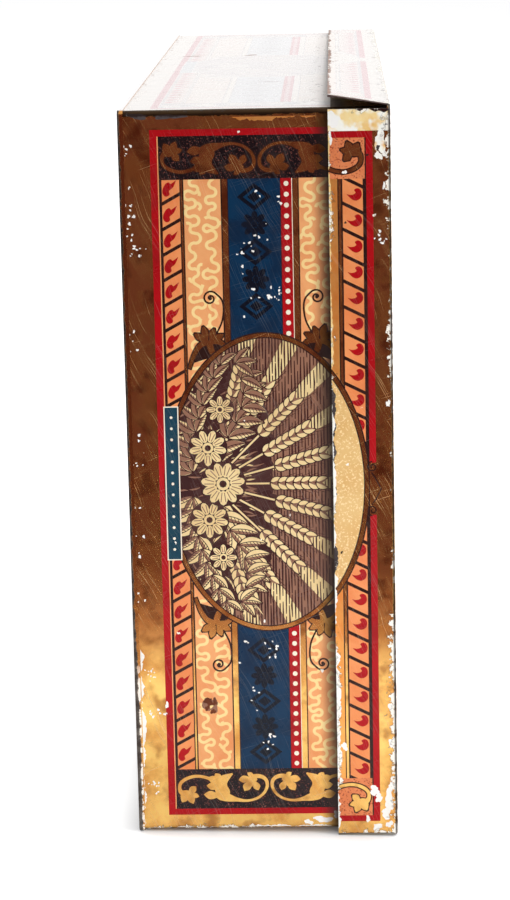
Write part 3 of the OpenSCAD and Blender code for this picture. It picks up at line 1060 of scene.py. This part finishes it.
def place_long(sign):
    def place(x, y):
        straight = BODY_Y - BODY_R
        out, along, a = round_corner(y, straight, BODY_R)
        lap = max(0.0, y - straight - ARC)
        spot = Vector((x, min(y, straight) + along, BODY_MID + sign * (BODY_FLAT + out - lap)))
        return spot, Vector((0, math.sin(a), sign * math.cos(a)))
    return place


def place_back(x, z):
    return Vector((x, BODY_Y, z)), Vector((0, 1, 0))


def lid_bend(x):
    a = min(max((x - LID_FOLD) / FOLD_R, 0.0), math.pi / 2)
    return min(x, LID_FOLD) + FOLD_R * math.sin(a), FOLD_R * (1 - math.cos(a)), a


def place_skirt(sign):
    def place(x, z):
        across, drop, a = lid_bend(x)
        return Vector((across, sign * (LID_Y - drop), z)), Vector((math.sin(a), sign * math.cos(a), 0))
    return place


def place_lower(x, y):
    across, drop, a = lid_bend(x)
    return Vector((across, y, drop)), Vector((math.sin(a), 0, -math.cos(a)))


def sprung(x, y):
    """Rise of the sprung skirt, flat between the stations of its solid."""
    share = max(0.0, (LID_FOLD - x) / (LID_FOLD - LID_FREE))
    station = (y + LID_Y) / (2 * LID_Y) * SPRUNG_STEPS
    i = min(max(int(station), 0), SPRUNG_STEPS - 1)
    u = station - i
    here, beyond = (SPRUNG_RISE * (1 - k / SPRUNG_STEPS) for k in (i, i + 1))
    return here * (share - u) + beyond * u if share >= u else beyond * share


def place_upper(x, y):
    across, drop, a = lid_bend(x)
    slope = SPRUNG_RISE * (LID_Y - y) / (2 * LID_Y) / (LID_FOLD - LID_FREE) if x <= LID_FOLD else 0.0
    normal = Vector((math.sin(a) + slope, 0, math.cos(a))).normalized()
    return Vector((across, y, LID_HIGH - drop + sprung(x, y))), normal


def place_top(y, z):
    return Vector((LID_TOP, y, z)), Vector((1, 0, 0))


def skirt_outline(low, high, far_low, far_high, extra=()):
    """A skirt between low and high, whose fold runs on to far_low and far_high and ends in mitres."""
    bends = [math.pi / 2 * i / ARC_STEPS for i in range(ARC_STEPS + 1)]
    right = [complex(LID_FOLD + FOLD_R * a, far_low + FOLD_R * (1 - math.cos(a))) for a in bends]
    left = [complex(LID_FOLD + FOLD_R * a, far_high - FOLD_R * (1 - math.cos(a))) for a in bends]
    start, end = ([complex(x, y) for x in (LID_FREE, LID_FOLD)] for y in (low, high))
    outline = [*start, *right, *left[::-1], *end[::-1]]
    clean = [p for i, p in enumerate(outline) if abs(p - outline[i - 1]) > 0.01]
    return Art(clean, [*zip(right, left), *extra])


front = body_outline(
    BODY_LOW + BODY_R - ARC, BODY_HIGH - BODY_R + ARC,
    arc_folds(BODY_LOW + BODY_R, -1) + arc_folds(BODY_HIGH - BODY_R, 1),
)
side_art(front, BODY_MID - 0.3, BODY_MID - BODY_LOW + 1.1, 11)
chips(front, "umber", (-12.9, 32.0, 2.2, 0.8))
chips(
    front, "rust",
    (-13.4, 33.0, 1.2, 1.0), (-11.9, 33.0, 0.9, 0.8), (-13.8, 31.4, 0.8, 0.7), (-12.4, 30.6, 0.8, 0.8),
)
chips(front, "cream", (-12.8, 31.8, 0.5, 0.8))
# Rubbed places on the gold, flakes on the blue, and bare edges
for seed, x, low, high in (
    (12, -28.0, 39.4, 41.0), (13, -26.6, 29.6, 31.0), (14, -27.0, 10.6, 13.4), (15, -28.6, 138.0, 143.0),
):
    speck_clusters(front, seed, 4, x, x + 2.6, low, high)
chips(front, "steel", (-26.0, 170.2, 0.7, 4.0), (-19.0, 170.0, 0.7, 5.0))
# Painted highlight: a ragged copper strip along the top edge stands for the shine on the gold there
front.through(swapped, ragged_strip, "copper", 169.7, -5.0, 16.0, -1.0, 10)
speck_clusters(front, 5, 14, -4.0, 5.5, 118.0, 152.0)
speck_clusters(front, 6, 9, -5.5, 4.5, 20.0, 50.0)
ragged_strip(front, "bare", -29.1, 2.5, 46.0, 0.95, 7)
speck_clusters(front, 8, 18, -29.0, -28.4, 50.0, 166.0)
front.through(swapped, ragged_strip, "bare", 1.9, -28.0, 15.0, 0.8, 9)
chips(
    front, "bare",
    (13.0, 3.6, 1.0, 2.2), (16.2, 4.8, 0.9, 1.0), (9.5, 3.0, 0.7, 1.6), (-23.2, 32.3, 0.8, 0.6),
)
film("front_print", "body", front, place_front, body_inks)

for name, sign, seed, inks in (("upper_print", 1, 21, pale_body_inks), ("lower_print", -1, 31, body_inks)):
    end = BODY_Y - BODY_R
    long_side = body_outline(-end, end + ARC + SEAM_LAP - BODY_R, arc_folds(end, 1))
    side_art(long_side, 0.0, BODY_Y + 1.1, seed)
    if sign > 0:
        long_side.strips(-BODY_Y, BODY_Y + SEAM_LAP, ("covered", LID_FREE + 0.6, MOUTH))
        chips(
            long_side, "rust",
            (2.3, -50.0, 0.35, 6.0), (-4.8, 36.0, 1.3, 1.6), (-18.5, -82.0, 0.5, 1.0),
            (-21.0, 36.0, 1.0, 3.0),
        )
        speck_clusters(long_side, 22, 34, -29.0, -27.6, -117.0, 117.0, "rust")
        # Painted shadow: dark grey specks in a band beside the lid's edge stand for a dotted shadow of the
        # edge
        speck_clusters(long_side, 23, 40, 12.4, 15.6, -110.0, 110.0, "steel")
    film(name, "body", long_side, place_long(sign), inks)

back = body_outline(BODY_LOW + SEAM_LAP + 0.05, BODY_HIGH - SEAM_LAP - 0.05, ())
side_art(back, BODY_MID, BODY_MID - BODY_LOW - 3.6, 41)
film("back_print", "body", back, place_back, body_inks)

SKIRT_LOW, SKIRT_HIGH = 0.52, 171.08
front_skirt = skirt_outline(SKIRT_LOW, SKIRT_HIGH, 0.0, LID_HIGH)
skirt_art(front_skirt, LID_MID - 1.3, LID_MID, 51)
front_skirt.strips(166.2, SKIRT_HIGH, ("worn", LID_FREE, LID_TOP + 0.4))
chips(front_skirt, "worn", (28.2, 163.6, 2.4, 0.7), (27.8, 160.6, 1.1, 0.8))
chips(
    front_skirt, "bare",
    (17.6, 168.9, 1.9, 1.0), (28.4, 164.9, 1.0, 0.7), (29.2, 161.0, 1.0, 0.5), (20.2, 157.0, 0.5, 1.1),
    (17.1, 164.6, 1.6, 0.3), (29.0, 153.8, 0.8, 0.5), (29.4, 104.0, 1.0, 0.5),
    (28.6, 8.6, 2.6, 0.5), (29.4, 12.0, 1.5, 0.6), (27.9, 5.4, 1.5, 0.9), (25.2, 11.0, 1.2, 1.2),
    (26.2, 9.2, 1.1, 1.0), (23.6, 4.0, 0.8, 0.8), (25.8, 1.9, 1.0, 1.3), (28.6, 2.6, 0.9, 1.0),
    (18.3, 22.0, 1.0, 0.9), (29.5, 22.8, 1.6, 0.5), (29.3, 31.4, 1.4, 0.5),
)
chips(front_skirt, "steel", (27.7, 162.4, 0.6, 0.9), (29.6, 167.4, 0.6, 0.6))
speck_clusters(front_skirt, 16, 3, 27.4, 29.0, 140.6, 142.8)
for low, high, ink, deep in (
    (1.5, 64.0, "bare", 1.1), (64.0, 108.0, "steel", 0.9), (70.0, 104.0, "bare", 0.7),
    (112.0, 166.0, "cream", 0.6),
):
    ragged_strip(front_skirt, ink, LID_FREE, low, high, deep, int(low))
# Painted shadow: a dark ragged strip along the skirt's top edge, towards the fold, darkens the notch under
# the sprung skirt
front_skirt.through(swapped, ragged_strip, "dark", SKIRT_HIGH, 21.0, LID_TOP + 0.4, -0.9, 4)
film("lid_front_print", "lid", front_skirt, place_skirt(-1), lid_inks)

back_skirt = skirt_outline(SKIRT_LOW, LID_HIGH - SKIRT_LOW, 0.0, LID_HIGH)
skirt_art(back_skirt, LID_MID, LID_MID, 52)
film("lid_back_print", "lid", back_skirt, place_skirt(1), lid_inks)

lower_skirt = skirt_outline(-LID_Y, LID_Y, -LID_Y, LID_Y)
skirt_art(lower_skirt, 0.0, LID_Y, 53)
film("lid_lower_print", "lid", lower_skirt, place_lower, lid_inks)

stations = [-LID_Y + 2 * LID_Y * i / SPRUNG_STEPS for i in range(SPRUNG_STEPS + 1)]
creases = [(complex(LID_FREE, y), complex(LID_FOLD, y)) for y in stations[1:-1]]
creases += [(complex(LID_FOLD, a), complex(LID_FREE, b)) for a, b in zip(stations, stations[1:])]
upper_skirt = skirt_outline(-LID_Y, LID_Y, -LID_Y, LID_Y, creases)
skirt_art(upper_skirt, 0.0, LID_Y, 54)
# Dark brown ragged strips along the free edge and the front end, and brown specks near the free edge
ragged_strip(upper_skirt, "rust", LID_FREE, -119.0, 119.0, 0.9, 24)
upper_skirt.through(swapped, ragged_strip, "rust", -LID_Y, LID_FREE, LID_FOLD, 1.6, 25)
speck_clusters(upper_skirt, 26, 70, 28.6, 30.4, -118.0, 118.0, "steel")
speck_clusters(upper_skirt, 27, 26, 17.5, 20.0, -116.0, 110.0, "rust")
film("lid_upper_print", "lid", upper_skirt, place_upper, pale_lid_inks)

lid_top = Art(box(FOLD_R - LID_Y, FOLD_R, LID_Y - FOLD_R, LID_HIGH - FOLD_R))
lid_art(lid_top)
film("lid_top_print", "lid", lid_top, place_top, lid_inks)

# Floor, light and camera


def stage_plane(name, size_x, size_y, location, rotation):
    mesh = bpy.data.meshes.new(name)
    x, y = size_x / 2, size_y / 2
    mesh.from_pydata([(-x, -y, 0), (x, -y, 0), (x, y, 0), (-x, y, 0)], [], [(0, 1, 2, 3)])
    plane = bpy.data.objects.new(name, mesh)
    plane.location, plane.rotation_euler = location, rotation
    bpy.context.scene.collection.objects.link(plane)
    return plane


def seen_ray(g, seen=1.0, mirrored=1.0):
    """A level for camera rays, and one for glossy and transmission rays."""
    path = g.tree.nodes.new("ShaderNodeLightPath")
    camera, glossy, through = (path.outputs["Is %s Ray" % n] for n in ("Camera", "Glossy", "Transmission"))
    return g.most(g.times(camera, seen), g.times(g.most(glossy, through), mirrored))


def blank(owner):
    """An empty node tree for a material or world."""
    owner.use_nodes = True
    owner.node_tree.nodes.clear()
    return Graph(owner.node_tree)


LEAN = math.atan2(1.05, 47.2)
floor = stage_plane("floor", 12.0, 12.0, (LID_FREE * MM, 0.0, -0.00004), (0.0, LEAN, 0.0))
floor_material = bpy.data.materials.new("floor")
g = blank(floor_material)
diffuse = g.add("ShaderNodeBsdfDiffuse", {"Color": (0.80, 0.80, 0.81, 1.0)})
# Painted shadow: the floor's own glow is dimmed by ambient occlusion, so that it stops in the gap under the
# tin
shade = g.add("ShaderNodeAmbientOcclusion", {"Distance": 0.006}, "AO", samples=8)
level = g.times(seen_ray(g, 0.68, 0.37), shade)
glow = g.add("ShaderNodeEmission", {"Color": (1.0, 1.0, 1.0, 1.0), "Strength": level})
both = g.add("ShaderNodeAddShader", {0: diffuse, 1: glow})
g.add("ShaderNodeOutputMaterial", {"Surface": both})
floor.data.materials.append(floor_material)

# A dark cloth for the gold to reflect: in front of the tin and up behind the camera, out of the picture
cloth_material = bpy.data.materials.new("dark_cloth")
g = blank(cloth_material)
# Its near edge is lighter and runs out softly
along = g.add("ShaderNodeSeparateXYZ", {0: g.add("ShaderNodeTexCoord", {}, "Object")}, 1)
brown = g.mix(g.step(along, 1.45, 1.38), (0.45, 0.17, 0.17, 1.0), (0.131, 0.052, 0.066, 1.0))
tone = g.add("ShaderNodeEmission", {"Color": brown, "Strength": 1.0})
clear = g.add("ShaderNodeBsdfTransparent", {})
tone = g.add("ShaderNodeMixShader", {0: g.step(along, 1.5, 1.44), 1: clear, 2: tone})
g.add("ShaderNodeOutputMaterial", {"Surface": tone})
for cloth in (
    stage_plane("dark_cloth", 6.0, 3.0, (LID_FREE * MM, -1.725, 0.002), (0.0, LEAN, 0.0)),
    stage_plane("dark_curtain", 6.0, 3.0, (0.0, -3.225, 1.5), (math.pi / 2, 0.0, 0.0)),
):
    cloth.data.materials.append(cloth_material)
    for ray in ("camera", "diffuse", "shadow", "transmission"):
        setattr(cloth, "visible_" + ray, False)

world = bpy.data.worlds.new("studio")
bpy.context.scene.world = world
g = blank(world)
level = g.blend(seen_ray(g), 0.38, 1.0)
sky = g.add("ShaderNodeBackground", {"Color": (1.0, 1.0, 1.0, 1.0), "Strength": level})
g.add("ShaderNodeOutputWorld", {"Surface": sky})


def area_light(name, location, target, size_x, size_y, power):
    data = bpy.data.lights.new(name, "AREA")
    data.shape, data.size, data.size_y, data.energy = "RECTANGLE", size_x, size_y, power
    lamp = bpy.data.objects.new(name, data)
    lamp.location = location
    lamp.rotation_euler = (Vector(target) - Vector(location)).to_track_quat("-Z", "Y").to_euler()
    bpy.context.scene.collection.objects.link(lamp)
    return lamp


area_light("back_light", (0.7, 1.0, 1.4), (0.0, 0.0, 0.1), 1.0, 0.8, 17.0)
area_light("left_light", (-1.4, 0.6, 0.9), (0.0, 0.0, 0.1), 1.0, 0.8, 8.0)
area_light("side_light", (1.5, -0.7, 0.7), (0.0, -0.12, 0.09), 0.4, 0.5, 10.5)
# Low in front, so that the side's foot is the brightest, as light from a pale table makes it
low_light = area_light("low_light", (0.01, -0.31, 0.022), (0.0, -0.12, 0.03), 0.24, 0.03, 0.2)
low_light.visible_camera = False
low_light.visible_glossy = False

camera_data = bpy.data.cameras.new("camera")
camera_data.sensor_width, camera_data.lens = 36.0, 110.08
camera = bpy.data.objects.new("camera", camera_data)
camera.location = (0.0184, -0.7355, 0.2307)
camera.rotation_euler = [math.radians(a) for a in (77.440, 1.214, 1.556)]
bpy.context.scene.collection.objects.link(camera)
bpy.context.scene.camera = camera
bpy.context.scene.view_settings.view_transform = "Standard"
